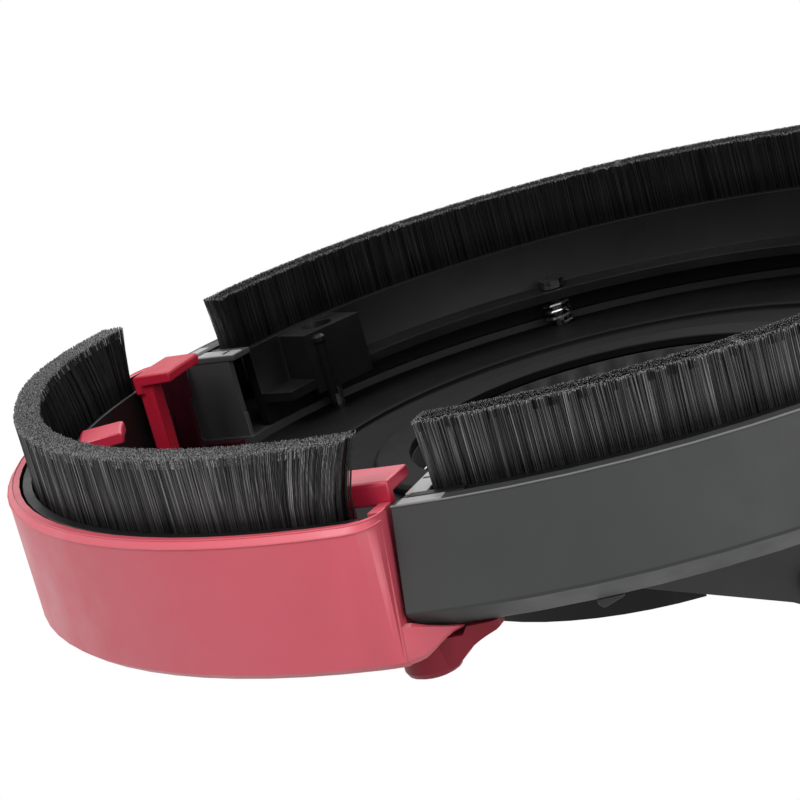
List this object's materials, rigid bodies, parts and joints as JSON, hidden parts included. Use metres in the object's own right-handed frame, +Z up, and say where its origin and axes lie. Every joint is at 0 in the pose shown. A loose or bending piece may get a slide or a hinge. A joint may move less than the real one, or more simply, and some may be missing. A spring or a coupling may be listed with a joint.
{
  "type": "dust extraction vacuum head",
  "caption": "Round hand-guided vacuum head with a floating bristle skirt, a removable red nose, turning latches and a tilting suction neck with a swivelling hose cuff.",
  "frame": {"origin": "on the floor under the bristle tips, on the hood's upright axis", "axes": "+Z up, away from the worked surface; -Y towards the removable nose; +Y towards the hose; +X to the right seen from behind the hose"},
  "size_m": [0.2618, 0.2776, 0.137],
  "materials": {
    "dark_grey_plastic": "fine grain, satin",
    "grey_plastic": "fine grain, satin",
    "black_plastic": "satin",
    "red_plastic": "fine grain, satin",
    "bristle": "nylon bristle",
    "steel": "bright"
  },
  "bodies": {
    "hood": {"deck": "dark_grey_plastic", "clamp_ring": "black_plastic", "port_housing": "grey_plastic", "front_cover": "black_plastic", "cover_screw_left": "steel", "cover_screw_right": "steel", "guide_pin_left_1": "steel", "guide_pin_left_2": "steel", "guide_pin_left_3": "steel", "guide_pin_right_1": "steel", "guide_pin_right_2": "steel", "guide_pin_right_3": "steel", "float_spring_left_1": "steel", "float_spring_left_2": "steel", "float_spring_right_1": "steel", "float_spring_right_2": "steel", "tilt_pin_left": "steel", "tilt_pin_right": "steel"},
    "skirt": {"outer_ring": "dark_grey_plastic", "inner_wall": "black_plastic", "ring_brush_carrier": "black_plastic", "ring_brush_1": "bristle", "ring_brush_2": "bristle", "ring_brush_3": "bristle", "ring_brush_4": "bristle", "ring_brush_5": "bristle", "ring_brush_6": "bristle", "ring_brush_7": "bristle", "ring_brush_8": "bristle", "ring_clip_left": "grey_plastic", "ring_clip_right": "grey_plastic"},
    "nose": {"nose_shell": "red_plastic", "nose_liner": "black_plastic", "nose_brush_carrier": "black_plastic", "nose_brush_1": "bristle", "nose_brush_2": "bristle", "nose_brush_3": "bristle", "nose_hook_left": "red_plastic", "nose_hook_right": "red_plastic", "nose_hook_middle_left": "red_plastic", "nose_hook_middle_right": "red_plastic", "latch_pin_left": "steel", "latch_pin_right": "steel"},
    "latch_left": {"nose_latch_left": "red_plastic"},
    "latch_right": {"nose_latch_right": "red_plastic"},
    "neck": {"neck": "grey_plastic"},
    "cuff": {"hose_cuff": "black_plastic"},
    "lever": {"lock_lever": "red_plastic"}
  },
  "joints": [
    {"name": "skirt_float", "type": "slide", "parent": "hood", "child": "skirt", "axis": [0, 0, 1], "range_m": [0, 0.002], "stiffness_N_per_m": 1500, "springref_m": -0.01, "deforming": ["float_spring_left_1", "float_spring_left_2", "float_spring_right_1", "float_spring_right_2"]},
    {"name": "nose_slide", "type": "slide", "parent": "skirt", "child": "nose", "axis": [0, -1, 0], "range_m": [0, 0.045]},
    {"name": "latch_turn_left", "type": "hinge", "parent": "nose", "child": "latch_left", "pos_m": [-0.09332, -0.07858, 0.0424], "axis": [0, 0, -1], "range_deg": [0, 35]},
    {"name": "latch_turn_right", "type": "hinge", "parent": "nose", "child": "latch_right", "pos_m": [0.09332, -0.07858, 0.0424], "axis": [0, 0, 1], "range_deg": [0, 35]},
    {"name": "neck_tilt", "type": "hinge", "parent": "hood", "child": "neck", "pos_m": [0, 0.046, 0.07815], "axis": [1, 0, 0], "range_deg": [0, 55]},
    {"name": "cuff_turn", "type": "hinge", "parent": "neck", "child": "cuff", "pos_m": [0, 0.11664, 0.11064], "axis": [0, 0.9085, 0.4179], "continuous": true},
    {"name": "lever_turn", "type": "hinge", "parent": "hood", "child": "lever", "pos_m": [0, 0.046, 0.07815], "axis": [-1, 0, 0], "range_deg": [0, 40]}
  ]
}
